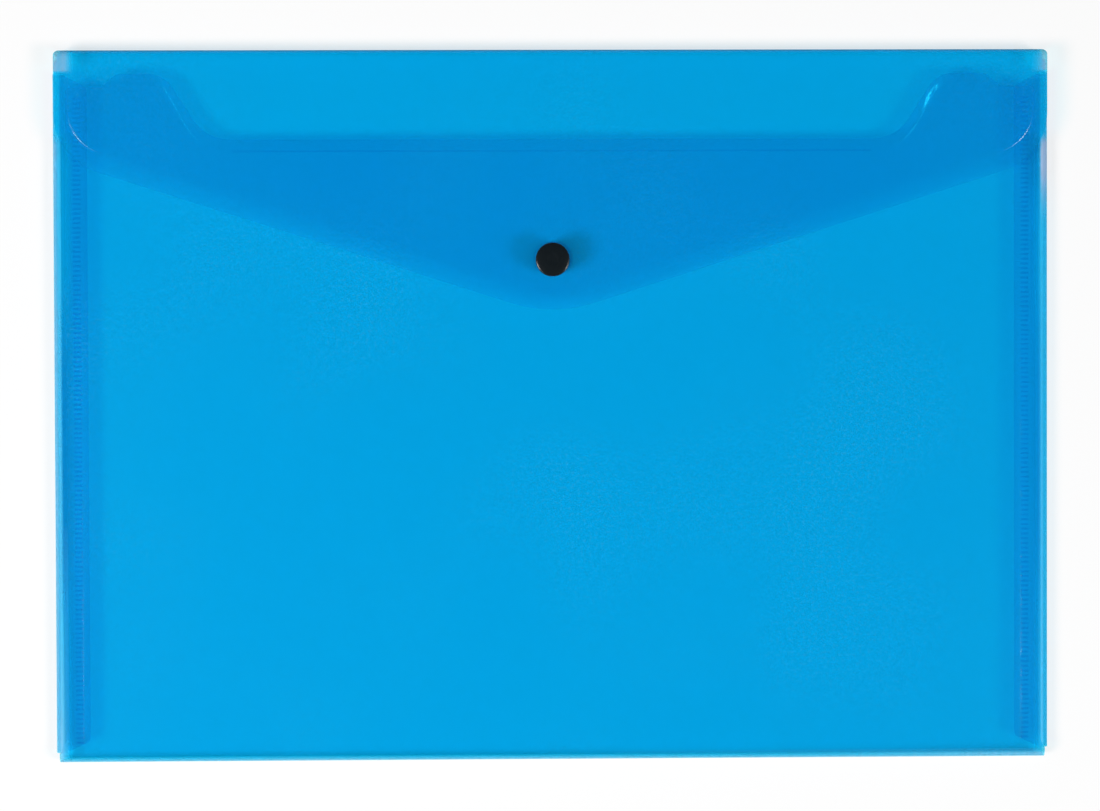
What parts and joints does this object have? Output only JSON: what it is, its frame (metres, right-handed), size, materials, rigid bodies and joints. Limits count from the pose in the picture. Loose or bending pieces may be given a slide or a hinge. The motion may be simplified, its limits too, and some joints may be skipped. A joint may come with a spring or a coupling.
{
  "type": "document wallet",
  "caption": "Translucent film document wallet for A4 papers: folded pocket with a finger throat, welded side tabs and a V-shaped flap closed by a press stud.",
  "frame": {"origin": "centre of the outline, on the underside of the back panel", "axes": "+X along the wallet's width, +Y up the page towards the flap's crease, +Z out of the front"},
  "size_m": [0.335, 0.239, 0.0108],
  "materials": {
    "film": "clear tinted polypropylene film, faintly grained",
    "stud": "black moulded acetal, smooth"
  },
  "bodies": {
    "pocket": {"back_panel": "film", "bottom_fold": "film", "front_panel": "film", "left_side_fold": "film", "right_side_fold": "film", "left_tab": "film", "right_tab": "film", "left_weld_seam": "film", "right_weld_seam": "film", "stud_post": "stud", "stud_base": "stud"},
    "crease_strip": {"top_fold": "film"},
    "flap": {"flap": "film", "stud_cap": "stud", "stud_socket": "stud"}
  },
  "joints": [
    {"name": "lower_crease", "type": "hinge", "parent": "pocket", "child": "crease_strip", "pos_m": [0, 0.1194, 0.0001], "axis": [-1, 0, 0], "range_deg": [0, 90]},
    {"name": "upper_crease", "type": "hinge", "parent": "crease_strip", "child": "flap", "pos_m": [0, 0.1194, 0.0089], "axis": [-1, 0, 0], "range_deg": [0, 90]}
  ],
  "couplings": [
    {"joint": "upper_crease", "follows": "lower_crease", "ratio": 1}
  ]
}
